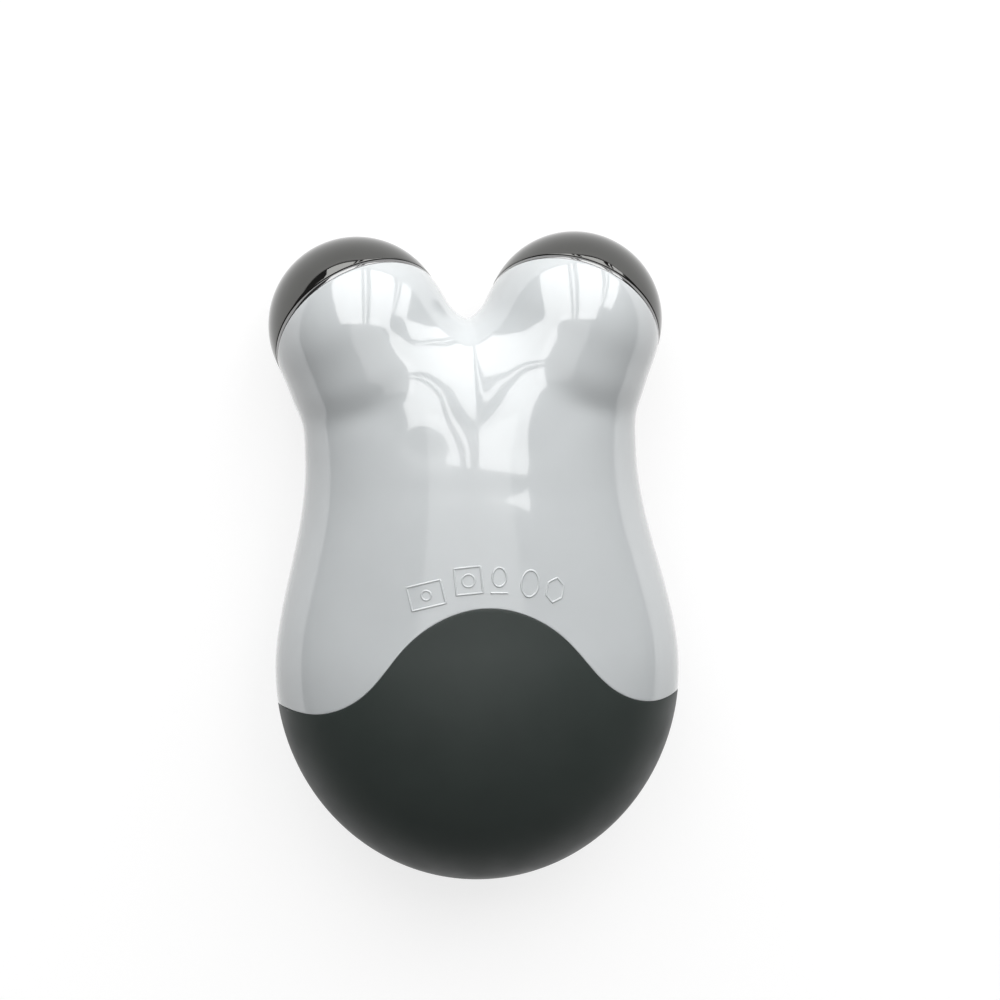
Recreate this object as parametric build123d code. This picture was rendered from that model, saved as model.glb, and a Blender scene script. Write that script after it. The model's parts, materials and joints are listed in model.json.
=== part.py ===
"""Facial toning device with two metal electrode domes, lying face down on its domes and belly.

Millimetres. While modelling, Y runs from the round bottom end (y = 0) up to the domes, X is to the
right seen from the rear face, and Z points out of the rear face. The finished nodes are moved along
Y so that the origin is at the bottom centre of the bounding box.
"""

from build123d import *
from math import asin, atan2, cos, radians, sin, sqrt
import os

# ---------------------------------------------------------------- body
hip_radius = 33.1            # half the round bottom end's width, seen from the rear
hip_y = 34.6                 # the widest place, above the bottom tip
flank_tuck = 3.3             # how far the torso draws in from the hips, on the way up
flank_y = 53.0
waist_tuck = 5.95
waist_y = 69.0
shoulder_tuck = 6.5          # above the waist, where the horns grow out of the torso
shoulder_y = 77.0
crown_half_width = 14.0
crown_drop = 2.8             # from the floor of the valley down to the crown's corners
valley_y = 91.1              # floor of the valley between the horns
rear_depth = 18.5            # from the parting plane to the rear face
front_depth = 16.5           # from the parting plane to the front face, which rests on the table
wall = 2.6

# ---------------------------------------------------------------- horns and electrode domes
dome_radius = 14.5
dome_spread = 17.85          # from the middle plane to a dome's centre
dome_y = 91.2
horn_outward = 26.5          # degrees from straight up, seen from the rear
horn_forward = 39.0          # degrees towards the face
horn_girth = 14.55           # the horn's largest radius
horn_taper_length = 1.8      # from the dome's centre plane back to the largest radius
arm_end_x = 15.2             # a horn ends in a ball deep in the torso: its centre and radius
arm_end_y = 84.0
arm_end_z = 16.2
arm_end_radius = 14.4
arm_inset = 0.1              # the arm starts this far inside the ball behind the horn's mouth
collar_drop = 1.35           # the collar ends this far behind the dome's centre plane
ring_height = 1.1            # bezel ring, between collar and dome
groove_height = 0.16         # shadow lines above and below the bezel ring
groove_depth = 0.6
dome_wall = 1.2
neck_length = 3.5            # the dome's neck, inside the socket
cup_wall = 1.25              # the socket cup's wall at its mouth
gasket_height = 1.0
socket_floor = 1.6
stud_radius = 2.0
stud_spare = 1.0             # thread standing out behind the nut
tag_height = 0.5
tag_radius = 3.6
tag_reach = 7.5              # from the stud's axis to the end of the solder tab
tag_width = 2.4
nut_height = 2.4
nut_across_flats = 6.4

# ---------------------------------------------------------------- grip cover
cover_thickness = 1.2
cover_crest_y = 45.1         # top of the hump on the rear face
cover_slope_outer = (12.8, 39.5)
cover_slope_inner = (20.6, 31.1)
cover_trough = (27.3, 28.8)
cover_side_y = 31.1          # where the rear edge meets the front edge, at the parting plane
cover_front_y = 18.0         # top of the cover in the middle of the front face

# ---------------------------------------------------------------- power button
button_y = 46.0
button_radius = 5.5
button_travel = 0.4
button_recess = 0.15         # the cap lies this far below the front face
button_flange_width = 1.1
button_flange_height = 0.7
button_flange_gap = 0.1      # from the bezel's rear edge back to the flange
bezel_width = 0.9
bezel_proud = 0.15
plunger_radius = 1.7
plunger_height = 1.1
switch_size = 6.0
switch_height = 3.4

# ---------------------------------------------------------------- circuit board and battery
board_side_gap = 2.5         # from the front housing to the board's long edges
board_end_gap = 0.3          # from the charging socket's body to the board
board_margin = 1.0           # from the last row of components to the board's top edge
board_thickness = 1.2
board_corner = 3.0
board_screw_inset = 2.6      # from the board's edges to its screws
standoff_radius = 2.4
board_screw_radius = 0.9
board_screw_length = 5.0
board_screw_head_radius = 1.8
board_screw_head_height = 1.2
battery_inset = 2.5          # from the board's long edges to the battery
battery_length = 28.0
battery_thickness = 10.0
battery_gap = 4.5            # from the board's lower edge to the battery
pad_thickness = 1.0
chip_size = 6.0
chip_height = 1.1
inductor_radius = 4.0
inductor_height = 4.5
capacitor_radius = 2.25
capacitor_height = 5.5
buzzer_radius = 4.5
buzzer_height = 3.0
buzzer_hole_radius = 0.8
buzzer_hole_depth = 0.5
connector_width = 7.0
connector_length = 4.0
connector_height = 4.0
connector_x = 0.0
part_spacing = 0.5           # between neighbours on the board
row_gap = 1.5                # from the battery connector to the control chip

# ---------------------------------------------------------------- indicator lights
lens_radius = 1.3
lens_y = 58.0
lens_pitch = 6.0
lens_arc_drop = 1.2          # the outer lights sit this far below the middle one
lens_recess = 0.1
led_width = 1.6
led_height = 0.8
led_gap = 0.3                # from a light pipe's end to its lamp

# ---------------------------------------------------------------- charging socket
socket_drop = 4.0            # from the parting plane down to the socket's axis
socket_barrel_radius = 3.2
socket_bore_radius = 1.8
socket_recess = 0.4          # the socket's mouth lies this far below the body's surface
socket_body_width = 8.0
socket_body_height = 7.0
socket_body_length = 7.4
socket_body_gap = 0.15       # from the square body's front edges to the housing's wall
centre_pin_radius = 0.65
centre_pin_tip_y = 3.4
centre_pin_length = 8.0      # from the tip to the bore's floor
centre_pin_root = 1.5        # length of the pin's thicker root, held in the body's back wall
centre_pin_root_radius = 0.9

# ---------------------------------------------------------------- fasteners and wires
boss_gap = 0.5               # from the board's long edges to the screw bosses
housing_screw_y = 22.0
housing_screw_radius = 1.3
housing_screw_grip = 7.5     # from the parting plane to the underside of the head
housing_screw_bite = 6.5     # from the parting plane to the screw's tip
housing_screw_head_radius = 2.5
housing_screw_head_height = 2.0
boss_radius = 3.0
wire_radius = 0.5
lead_spacing = 3.0
lead_pad_x = 5.5             # from the board's long edge in to an electrode lead's joint
lead_pad_y = 1.5             # from the board's top edge down to it
lead_rise = 3.0              # straight length at each end of an electrode lead
lead_bow = 4.0               # how far an electrode lead bows above its joint
lead_exit = 1.0              # straight length where a lead leaves the battery or the socket
lead_entry = 1.2             # straight length where it goes into the connector
lead_lift = 2.0              # from the socket's axis up to its leads
lead_spread = 1.6            # the socket's leads spread by this factor on the way to the board

# ---------------------------------------------------------------- clearances
cover_gap = 0.05             # between the grip cover and the housings
fit_gap = 0.1                # between parts that drop into each other
press_gap = 0.05             # between the socket cups and the horns
thread_gap = 0.02            # between a screw and the plastic that it has cut into
button_gap = 0.15            # around the moving button

# ---------------------------------------------------------------- worked out from the above
parting_z = front_depth
flank_half_width = hip_radius - flank_tuck
waist_half_width = hip_radius - waist_tuck
shoulder_half_width = hip_radius - shoulder_tuck
overall_length = dome_y + dome_radius
neck_radius = dome_radius - wall - press_gap - cup_wall - fit_gap
collar_t = -collar_drop
dome_base_t = collar_t + ring_height
neck_end_t = dome_base_t - neck_length
gasket_end_t = neck_end_t - gasket_height
socket_end_t = gasket_end_t - socket_floor
tag_end_t = socket_end_t - tag_height
nut_end_t = tag_end_t - nut_height
horn_axis = Vector(
    sin(radians(horn_outward)) * cos(radians(horn_forward)),
    cos(radians(horn_outward)) * cos(radians(horn_forward)),
    -sin(radians(horn_forward)),
)
dome_centre = Vector(dome_spread, dome_y, dome_radius)
horn_frame = Plane(origin=dome_centre, x_dir=Vector(0, 0, 1).cross(horn_axis), z_dir=horn_axis)
finished_frame = Pos(0, -overall_length / 2, 0)
huge = 4 * overall_length


def flank(inset=0.0):
    """The torso's outline from its widest place up and over the crown to the middle plane."""
    return Spline(
        (hip_radius - inset, hip_y),
        (flank_half_width - inset, flank_y),
        (waist_half_width - inset, waist_y),
        (shoulder_half_width - inset, shoulder_y),
        (crown_half_width - inset, valley_y - crown_drop - inset / 2),
        (0, valley_y - inset),
        tangents=((0, 1), (-1, 0)),
    )


def half_width(y, inset=0.0):
    """Half the torso's width at the height y, for the parts that line up with its surface."""
    if y < hip_y:
        return (hip_radius - inset) * sqrt(1 - ((hip_y - y) / (hip_y - inset)) ** 2)
    outline = flank(inset)
    low, high = 0.0, 1.0
    while high - low > 1e-7:
        middle = (low + high) / 2
        if (outline @ middle).Y < y:
            low = middle
        else:
            high = middle
    return (outline @ low).X


def front_z(x, y, inset=0.0):
    """Height of the front face above the table at (x, y), the face being inset by a wall."""
    reach = half_width(y, inset)
    depth = reach * (front_depth - inset) / (hip_radius - inset)
    return parting_z - depth * sqrt(1 - (x / reach) ** 2)


def front_room(y, z):
    """Half the room inside the front housing, at y along the body and z above the table."""
    reach = half_width(y, wall)
    depth = reach * (front_depth - wall) / (hip_radius - wall)
    return reach * sqrt(1 - ((parting_z - z) / depth) ** 2)


def room_start_y(x, z, inset):
    """The lowest y at which (x, z) lies inside the front housing, inset by a wall."""
    reach = sqrt(x**2 + ((parting_z - z) * (hip_radius - inset) / (front_depth - inset)) ** 2)
    return hip_y - (hip_y - inset) * sqrt(1 - (reach / (hip_radius - inset)) ** 2)


def bezel_rear_z():
    """The highest point of the front wall's inner face round the button's bezel."""
    reach = button_radius + bezel_width
    angles = [radians(step * 15) for step in range(-6, 7)]
    return max(front_z(reach * cos(angle), button_y + reach * sin(angle), wall) for angle in angles)


flange_front_z = bezel_rear_z() + button_flange_gap
flange_rear_z = flange_front_z + button_flange_height
board_front_z = flange_rear_z + plunger_height + switch_height + button_travel
board_rear_z = board_front_z + board_thickness
socket_z = parting_z - socket_drop
socket_low_z = socket_z - socket_body_height / 2
socket_body_y = room_start_y(socket_body_width / 2, socket_low_z, wall) + socket_body_gap
socket_end_y = socket_body_y + socket_body_length
bore_floor_y = centre_pin_tip_y + centre_pin_length
board_bottom_y = socket_end_y + board_end_gap
battery_y = board_bottom_y + battery_gap + battery_length / 2
battery_end_y = battery_y + battery_length / 2
low_row_y = battery_end_y + part_spacing + buzzer_radius
high_row_y = low_row_y + connector_length / 2 + row_gap + chip_size / 2
board_top_y = high_row_y + chip_size / 2 + board_margin
board_y = (board_bottom_y + board_top_y) / 2
board_half_width = min(front_room(y, board_front_z) for y in (board_bottom_y, board_top_y)) - board_side_gap
battery_width = 2 * (board_half_width - battery_inset)
battery_front_z = board_rear_z + pad_thickness
housing_screw_x = board_half_width + boss_gap + boss_radius


def group(shapes):
    """Several pieces of one kind as one node of separate solids."""
    return Compound([solid for shape in shapes for solid in shape.solids()])


def rod(radius, x, y, z_low, z_high):
    return Pos(x, y, (z_low + z_high) / 2) * Cylinder(radius, z_high - z_low)


def block(width, length, x, y, z_low, z_high):
    return Pos(x, y, (z_low + z_high) / 2) * Box(width, length, z_high - z_low)


def rear_side():
    return Pos(0, 0, parting_z + huge / 2) * Box(huge, huge, huge)


def front_side():
    return Pos(0, 0, parting_z - huge / 2) * Box(huge, huge, huge)


def turned(points, arcs=()):
    """A solid of revolution about Z. Each point is (radius, height); arcs bulge over the same
    numbered side, by the point they pass through."""
    passing = dict(arcs)
    with BuildSketch(Plane.XZ) as sketch:
        with BuildLine():
            for i, start in enumerate(points):
                end = points[(i + 1) % len(points)]
                if i in passing:
                    ThreePointArc(start, passing[i], end)
                else:
                    Line(start, end)
        make_face()
    return revolve(sketch.sketch.faces()[0], Axis.Z, 360)


def in_horn(shape, side):
    """Puts a shape made about Z onto the right horn's axis, or its mirror image on the left."""
    placed = horn_frame.location * shape
    return placed if side > 0 else mirror(placed, Plane.YZ)


# ---------------------------------------------------------------- outer and inner forms
def torso_half(depth, inset):
    """Half of the torso, behind the parting plane; the front is its mirror image."""
    with BuildSketch() as sketch:
        with BuildLine():
            EllipticalCenterArc((0, hip_y), hip_radius - inset, hip_y - inset, start_angle=-90, arc_size=90)
            flank(inset)
            Line((0, valley_y - inset), (0, inset))
        make_face()
    half = revolve(sketch.sketch.faces()[0], Axis.Y, 180)
    if half.center().Z < 0:
        half = mirror(half, Plane.XY)
    return scale(half, by=(1, 1, (depth - inset) / (hip_radius - inset)))


def torso_rear(inset=0.0):
    return Pos(0, 0, parting_z) * torso_half(rear_depth, inset)


def torso_front(inset=0.0):
    return Pos(0, 0, parting_z) * mirror(torso_half(front_depth, inset), Plane.XY)


def horn_radius(t, inset=0.0):
    """The horn's radius at the height t along its axis, in its tapered length."""
    return dome_radius - (horn_girth - dome_radius) * t / horn_taper_length - inset


def horn_ball(inset=0.0):
    """Radius and centre height of the ball that closes the horn, tangent to its cone."""
    slope = atan2(horn_girth - dome_radius, horn_taper_length)
    ball = horn_radius(-horn_taper_length, inset) / cos(slope)
    return ball, -horn_taper_length - ball * sin(slope)


def horn(inset=0.0, mouth_t=collar_t):
    """A cone that widens behind the mouth and closes with a ball tangent to it."""
    wide = horn_radius(-horn_taper_length, inset)
    ball, ball_t = horn_ball(inset)
    halfway = radians(45)
    return turned(
        [
            (horn_radius(mouth_t, inset), mouth_t),
            (wide, -horn_taper_length),
            (0, ball_t - ball),
            (0, mouth_t),
        ],
        arcs=[(1, (ball * cos(halfway), ball_t - ball * sin(halfway)))],
    )


def arm(inset=0.0):
    """The rest of the right horn: the hull of its ball and of one deep in the torso."""
    ball, ball_t = horn_ball()
    high, low = dome_centre + horn_axis * ball_t, Vector(arm_end_x, arm_end_y, arm_end_z)
    length = (low - high).length
    wide, narrow = ball - arm_inset - inset, arm_end_radius - inset
    slope = asin((wide - narrow) / length)
    halfway = radians(45)
    hull = turned(
        [
            (0, -wide),
            (wide * cos(slope), wide * sin(slope)),
            (narrow * cos(slope), length + narrow * sin(slope)),
            (0, length + narrow),
        ],
        arcs=[
            (0, (wide * cos(halfway), -wide * sin(halfway))),
            (2, (narrow * cos(halfway), length + narrow * sin(halfway))),
        ],
    )
    return Plane(origin=high, z_dir=low - high).location * hull


def half_form(torso, side_of_parting, inset=0.0, mouth_t=collar_t):
    """One half of the body's form: its torso with the two horns on that side of the parting."""
    behind_mouth = in_horn(rod(huge / 4, 0, 0, -huge / 2, mouth_t), 1)
    right = (in_horn(horn(inset, mouth_t), 1) + (arm(inset) & behind_mouth)) & side_of_parting
    return torso(inset) + (right + mirror(right, Plane.YZ))


def cover_zone(side_of_parting, rear):
    """Everything below the grip cover's edge, on one side of the parting plane."""
    side = (hip_radius * 1.1, cover_side_y + (0.8 if rear else 1.6))
    if rear:
        points = [cover_slope_outer, cover_slope_inner, cover_trough, side]
        crest = (0, cover_crest_y)
    else:
        points = [side]
        crest = (0, cover_front_y)
    left = [(-x, y) for x, y in reversed(points)]
    with BuildSketch() as sketch:
        with BuildLine():
            edge = Spline(*left, crest, *points)
            Polyline(edge @ 1, (side[0], -huge / 4), (-side[0], -huge / 4), edge @ 0)
        make_face()
    return extrude(sketch.sketch, huge / 2, both=True) & side_of_parting


# ---------------------------------------------------------------- casings
def make_grip_cover():
    halves = []
    for torso, side_of_parting, rear in ((torso_rear, rear_side(), True), (torso_front, front_side(), False)):
        zone = cover_zone(side_of_parting, rear)
        halves.append((torso() & zone) - torso(cover_thickness))
    return halves[0] + halves[1] - plug_way()


def shell_half(torso, side_of_parting, rear):
    outer = half_form(torso, side_of_parting)
    inner = half_form(torso, side_of_parting, wall, mouth_t=dome_radius)
    under_cover = cover_zone(side_of_parting, rear) - torso(cover_thickness + cover_gap)
    return outer - inner - under_cover - plug_way()


def make_rear_housing():
    shell = shell_half(torso_rear, rear_side(), True)
    skin = torso_rear(wall / 2 + cover_thickness)
    for side in (1, -1):
        x = side * housing_screw_x
        boss = rod(boss_radius, x, housing_screw_y, parting_z, parting_z + rear_depth) & skin
        head_z = parting_z + housing_screw_grip
        shell += boss
        shell -= rod(housing_screw_radius + fit_gap, x, housing_screw_y, 0, head_z)
        shell -= rod(housing_screw_head_radius + fit_gap, x, housing_screw_y, head_z, huge / 4)
    return shell


def make_front_housing():
    shell = shell_half(torso_front, front_side(), False)
    skin = torso_front(wall / 2 + cover_thickness)
    for side in (1, -1):
        x = side * housing_screw_x
        shell += rod(boss_radius, x, housing_screw_y, 0, parting_z) & skin
        thread = housing_screw_radius + thread_gap
        shell -= rod(thread, x, housing_screw_y, parting_z - housing_screw_bite - fit_gap, parting_z)
    for x, y in board_screw_places():
        shell += rod(standoff_radius, x, y, 0, board_front_z) & skin
        thread = board_screw_radius + thread_gap
        shell -= rod(thread, x, y, board_rear_z - board_screw_length - fit_gap, board_front_z)
    cradle_y = socket_body_y + socket_body_length / 2
    shell += block(socket_body_width, socket_body_length, 0, cradle_y, 0, socket_low_z) & skin
    shell -= rod(button_radius + bezel_width, 0, button_y, -huge / 4, board_front_z)
    for x, y in lens_places():
        shell -= rod(lens_radius, x, y, -huge / 4, board_front_z)
    return shell


# ---------------------------------------------------------------- electrodes, about the horn's axis
def make_dome():
    inner = dome_radius - dome_wall
    base_in = dome_base_t + dome_wall
    plate_t = neck_end_t + dome_wall
    halfway = radians(45)
    bore = neck_radius - dome_wall
    return turned(
        [
            (sqrt(dome_radius**2 - dome_base_t**2), dome_base_t),
            (0, dome_radius),
            (0, inner),
            (sqrt(inner**2 - base_in**2), base_in),
            (bore, base_in),
            (bore, plate_t),
            (stud_radius, plate_t),
            (stud_radius, neck_end_t),
            (neck_radius, neck_end_t),
            (neck_radius, dome_base_t),
        ],
        arcs=[
            (0, (dome_radius * cos(halfway), dome_radius * sin(halfway))),
            (2, (inner * cos(halfway), inner * sin(halfway))),
        ],
    )


def make_bezel_ring():
    inner = neck_radius + fit_gap
    outer = dome_radius
    low, high = collar_t, dome_base_t
    return turned(
        [
            (inner, low),
            (outer - groove_depth, low),
            (outer - groove_depth, low + groove_height),
            (outer, low + groove_height),
            (outer, high - groove_height),
            (outer - groove_depth, high - groove_height),
            (outer - groove_depth, high),
            (inner, high),
        ]
    )


def make_socket_cup():
    """A cup that widens with the horn, so the collar holds it in, and ends inside the horn's ball."""
    gap = wall + press_gap
    wide_t = max(-horn_taper_length, socket_end_t)
    ball, ball_t = horn_ball(gap)
    end_radius = sqrt(ball**2 - (socket_end_t - ball_t) ** 2) if socket_end_t < wide_t else None
    return turned(
        [
            (horn_radius(collar_t, gap), collar_t),
            (horn_radius(wide_t, gap), wide_t),
            *([(end_radius, socket_end_t)] if end_radius else []),
            (stud_radius + fit_gap, socket_end_t),
            (stud_radius + fit_gap, gasket_end_t),
            (neck_radius + fit_gap, gasket_end_t),
            (neck_radius + fit_gap, collar_t),
        ]
    )


def make_gasket():
    middle = (neck_end_t + gasket_end_t) / 2
    ring = Cylinder(neck_radius, gasket_height) - Cylinder(stud_radius + fit_gap, gasket_height)
    return Pos(0, 0, middle) * ring


def make_stud():
    top = neck_end_t + dome_wall
    bottom = nut_end_t - stud_spare
    return Pos(0, 0, (top + bottom) / 2) * Cylinder(stud_radius, top - bottom)


def make_terminal_tag():
    tab = Pos(-tag_reach / 2, 0, 0) * Box(tag_reach, tag_width, tag_height)
    tag = Cylinder(tag_radius, tag_height) + tab
    tag -= Cylinder(stud_radius + fit_gap, tag_height)
    return Pos(0, 0, (socket_end_t + tag_end_t) / 2) * tag


def make_nut():
    corner_radius = nut_across_flats / 2 / cos(radians(30))
    nut = extrude(RegularPolygon(corner_radius, 6), nut_height) - rod(stud_radius, 0, 0, 0, nut_height)
    return Pos(0, 0, nut_end_t) * nut


# ---------------------------------------------------------------- power button and switch
def make_power_button():
    cap = rod(button_radius, 0, button_y, -huge / 4, flange_front_z)
    cap &= torso_front(button_recess)
    flange = rod(button_radius + button_flange_width, 0, button_y, flange_front_z, flange_rear_z)
    return cap + flange


def make_button_bezel():
    ring = rod(button_radius + bezel_width, 0, button_y, -huge / 4, parting_z)
    ring -= rod(button_radius + button_gap, 0, button_y, -huge / 4, parting_z)
    return (ring & torso_front(-bezel_proud)) - torso_front(wall)


def switch_front_z():
    return board_front_z - switch_height


def make_switch_plunger():
    return rod(plunger_radius, 0, button_y, flange_rear_z, flange_rear_z + plunger_height + button_travel)


def make_tact_switch():
    body = block(switch_size, switch_size, 0, button_y, switch_front_z(), board_front_z)
    well_end = switch_front_z() + 2 * button_travel + fit_gap
    return body - rod(plunger_radius + button_gap, 0, button_y, switch_front_z(), well_end)


# ---------------------------------------------------------------- board, battery and what sits on them
def board_screw_places():
    x = board_half_width - board_screw_inset
    ys = (board_bottom_y + board_screw_inset, board_top_y - board_screw_inset)
    return [(side * x, y) for y in ys for side in (1, -1)]


def make_main_board():
    outline = RectangleRounded(2 * board_half_width, board_top_y - board_bottom_y, board_corner)
    board = Pos(0, board_y, board_front_z) * extrude(outline, board_thickness)
    for x, y in board_screw_places():
        board -= rod(board_screw_radius + fit_gap, x, y, board_front_z, board_rear_z)
    return board


def make_board_screws():
    screws = []
    for x, y in board_screw_places():
        shank = rod(board_screw_radius, x, y, board_rear_z - board_screw_length, board_rear_z)
        head_z = board_rear_z + board_screw_head_height
        screws.append(shank + rod(board_screw_head_radius, x, y, board_rear_z, head_z))
    return group(screws)


def make_battery():
    cell = block(
        battery_width, battery_length, 0, battery_y, battery_front_z, battery_front_z + battery_thickness
    )
    return fillet(cell.edges().filter_by(Axis.Y), battery_thickness * 0.3)


def make_battery_pad():
    width = battery_width * 0.75
    return block(width, battery_length * 0.8, 0, battery_y, board_rear_z, battery_front_z)


def on_board(shape, x, y, height):
    """Stands a shape centred on the origin on the board's rear face."""
    return Pos(x, y, board_rear_z + height / 2) * shape


def make_control_chip():
    return on_board(Box(chip_size, chip_size, chip_height), 0, high_row_y, chip_height)


def make_capacitors():
    can = Cylinder(capacitor_radius, capacitor_height)
    x = chip_size / 2 + part_spacing + capacitor_radius
    return group([on_board(can, i * x, high_row_y, capacitor_height) for i in (-1, 1)])


def make_boost_inductor():
    x = connector_x + connector_width / 2 + part_spacing + inductor_radius
    return on_board(Cylinder(inductor_radius, inductor_height), x, low_row_y, inductor_height)


def make_buzzer():
    can = Cylinder(buzzer_radius, buzzer_height)
    can -= Pos(0, 0, buzzer_height / 2) * Cylinder(buzzer_hole_radius, 2 * buzzer_hole_depth)
    x = connector_x - connector_width / 2 - part_spacing - buzzer_radius
    return on_board(can, x, low_row_y, buzzer_height)


def make_battery_connector():
    body = Box(connector_width, connector_length, connector_height)
    return on_board(body, connector_x, low_row_y, connector_height)


# ---------------------------------------------------------------- indicator lights
def lens_places():
    return [(i * lens_pitch, lens_y - abs(i) * lens_arc_drop) for i in (-1, 0, 1)]


def make_indicator_lenses():
    skin = torso_front(lens_recess)
    end = board_front_z - led_height - led_gap
    return group([rod(lens_radius, x, y, -huge / 4, end) & skin for x, y in lens_places()])


def make_indicator_leds():
    top = board_front_z - led_height
    return group([block(led_width, led_width, x, y, top, board_front_z) for x, y in lens_places()])


# ---------------------------------------------------------------- charging socket, along Y
def along_y(radius, y_low, y_high):
    return Pos(0, (y_low + y_high) / 2, socket_z) * Rot(90, 0, 0) * Cylinder(radius, y_high - y_low)


def plug_way():
    """The hole through the cover and the housings that the socket's barrel stands in."""
    return along_y(socket_barrel_radius + fit_gap, -hip_y, socket_body_y)


def make_charging_socket():
    barrel = along_y(socket_barrel_radius, -hip_y, socket_body_y) & torso_front(socket_recess)
    middle_y = socket_body_y + socket_body_length / 2
    top_z = socket_low_z + socket_body_height
    body = block(socket_body_width, socket_body_length, 0, middle_y, socket_low_z, top_z)
    bore = along_y(socket_bore_radius, -hip_y, bore_floor_y)
    return barrel + body - bore - centre_pin_root_form()


def centre_pin_root_form():
    return along_y(centre_pin_root_radius, bore_floor_y, bore_floor_y + centre_pin_root)


def make_centre_pin():
    return along_y(centre_pin_radius, centre_pin_tip_y, bore_floor_y) + centre_pin_root_form()


# ---------------------------------------------------------------- fasteners and wires
def make_housing_screws():
    head_z = parting_z + housing_screw_grip
    tip_z = parting_z - housing_screw_bite
    screw = rod(housing_screw_radius, housing_screw_x, housing_screw_y, tip_z, head_z)
    screw += rod(
        housing_screw_head_radius, housing_screw_x, housing_screw_y, head_z, head_z + housing_screw_head_height
    )
    return group([screw, mirror(screw, Plane.YZ)])


def wire(points):
    """A round wire along straight runs joined by arcs as large as their runs allow."""
    radii = []
    for before, corner, after in zip(points, points[1:], points[2:]):
        run_in, run_out = Vector(corner) - Vector(before), Vector(after) - Vector(corner)
        turn = radians(run_in.get_angle(run_out))
        radii.append(0.45 * min(run_in.length, run_out.length) * cos(turn / 2) / sin(turn / 2))
    path = FilletPolyline(*points, radius=radii)
    section = Plane(origin=path @ 0, z_dir=path % 0) * Circle(wire_radius)
    return sweep(section, path)


def make_electrode_lead(side):
    start = horn_frame.from_local_coords(Vector(-tag_reach + wire_radius * 2, 0, tag_end_t))
    pad = Vector(board_half_width - lead_pad_x, board_top_y - lead_pad_y, board_rear_z)
    rise = Vector(0, 0, lead_rise)
    bow = Vector(0, lead_bow, lead_bow)
    points = [start, start - horn_axis * lead_rise, pad + rise + bow, pad + rise, pad]
    lead = wire([tuple(p) for p in points])
    return lead if side > 0 else mirror(lead, Plane.YZ)


def make_battery_lead(side):
    x = connector_x + side * lead_spacing / 2
    high = battery_front_z + battery_thickness / 2
    low = board_rear_z + connector_height / 2
    end = low_row_y - connector_length / 2
    return wire(
        [
            (x, battery_end_y, high),
            (x, battery_end_y + lead_exit, high),
            (x, end - lead_entry, low),
            (x, end, low),
        ]
    )


def make_socket_lead(side):
    x = side * lead_spacing / 2
    pad_y = board_bottom_y + battery_gap / 2
    high = socket_z + lead_lift
    return wire(
        [
            (x, socket_end_y, high),
            (x, socket_end_y + lead_exit, high),
            (x * lead_spread, pad_y, high),
            (x * lead_spread, pad_y, board_rear_z),
        ]
    )


# ---------------------------------------------------------------- nodes
def all_nodes():
    nodes = {
        "rear_housing": make_rear_housing(),
        "front_housing": make_front_housing(),
        "grip_cover": make_grip_cover(),
        "power_button": make_power_button(),
        "button_bezel": make_button_bezel(),
        "switch_plunger": make_switch_plunger(),
        "tact_switch": make_tact_switch(),
        "indicator_lenses": make_indicator_lenses(),
        "indicator_leds": make_indicator_leds(),
        "main_board": make_main_board(),
        "board_screws": make_board_screws(),
        "battery_cell": make_battery(),
        "battery_pad": make_battery_pad(),
        "battery_connector": make_battery_connector(),
        "control_chip": make_control_chip(),
        "boost_inductor": make_boost_inductor(),
        "capacitors": make_capacitors(),
        "buzzer": make_buzzer(),
        "charging_socket": make_charging_socket(),
        "socket_centre_pin": make_centre_pin(),
        "housing_screws": make_housing_screws(),
    }
    turned_parts = {
        "electrode_dome": make_dome(),
        "bezel_ring": make_bezel_ring(),
        "socket_cup": make_socket_cup(),
        "gasket": make_gasket(),
        "electrode_stud": make_stud(),
        "terminal_tag": make_terminal_tag(),
        "stud_nut": make_nut(),
    }
    for side, name in ((1, "right"), (-1, "left")):
        for part, shape in turned_parts.items():
            nodes[f"{name}_{part}"] = in_horn(shape, side)
        nodes[f"{name}_electrode_lead"] = make_electrode_lead(side)
    for side, colour in ((1, "red"), (-1, "black")):
        nodes[f"{colour}_battery_lead"] = make_battery_lead(side)
        nodes[f"{colour}_socket_lead"] = make_socket_lead(side)
    return nodes


os.makedirs("parts", exist_ok=True)
for node_name, node_shape in all_nodes().items():
    export_step(finished_frame * node_shape, f"parts/{node_name}.step")
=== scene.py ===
"""Looks of the facial toning device: smooth shells, polished domes, materials, light and camera.

Shapes are worked out in millimetres in the row's frame and written to Blender in metres.
"""

import bmesh
import bpy
import json
import math
import numpy as np
from mathutils import Matrix, Vector


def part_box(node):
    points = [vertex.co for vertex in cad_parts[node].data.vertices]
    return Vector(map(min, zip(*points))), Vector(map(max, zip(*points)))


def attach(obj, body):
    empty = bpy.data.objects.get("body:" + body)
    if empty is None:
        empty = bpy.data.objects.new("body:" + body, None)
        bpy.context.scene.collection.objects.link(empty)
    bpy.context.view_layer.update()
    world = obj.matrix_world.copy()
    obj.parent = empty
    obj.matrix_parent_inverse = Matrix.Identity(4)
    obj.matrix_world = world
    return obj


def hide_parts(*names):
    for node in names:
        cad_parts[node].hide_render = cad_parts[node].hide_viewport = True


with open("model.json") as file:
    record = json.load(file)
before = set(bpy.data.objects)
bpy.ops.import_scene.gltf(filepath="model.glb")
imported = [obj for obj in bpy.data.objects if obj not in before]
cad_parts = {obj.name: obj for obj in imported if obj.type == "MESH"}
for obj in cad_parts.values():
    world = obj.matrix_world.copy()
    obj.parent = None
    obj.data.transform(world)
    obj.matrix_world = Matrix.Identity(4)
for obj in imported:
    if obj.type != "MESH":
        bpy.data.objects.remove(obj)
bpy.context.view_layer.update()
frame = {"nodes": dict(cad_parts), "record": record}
MM = 0.001


def corners_mm(node):
    low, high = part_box(node)
    return np.array(low) / MM, np.array(high) / MM


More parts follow.
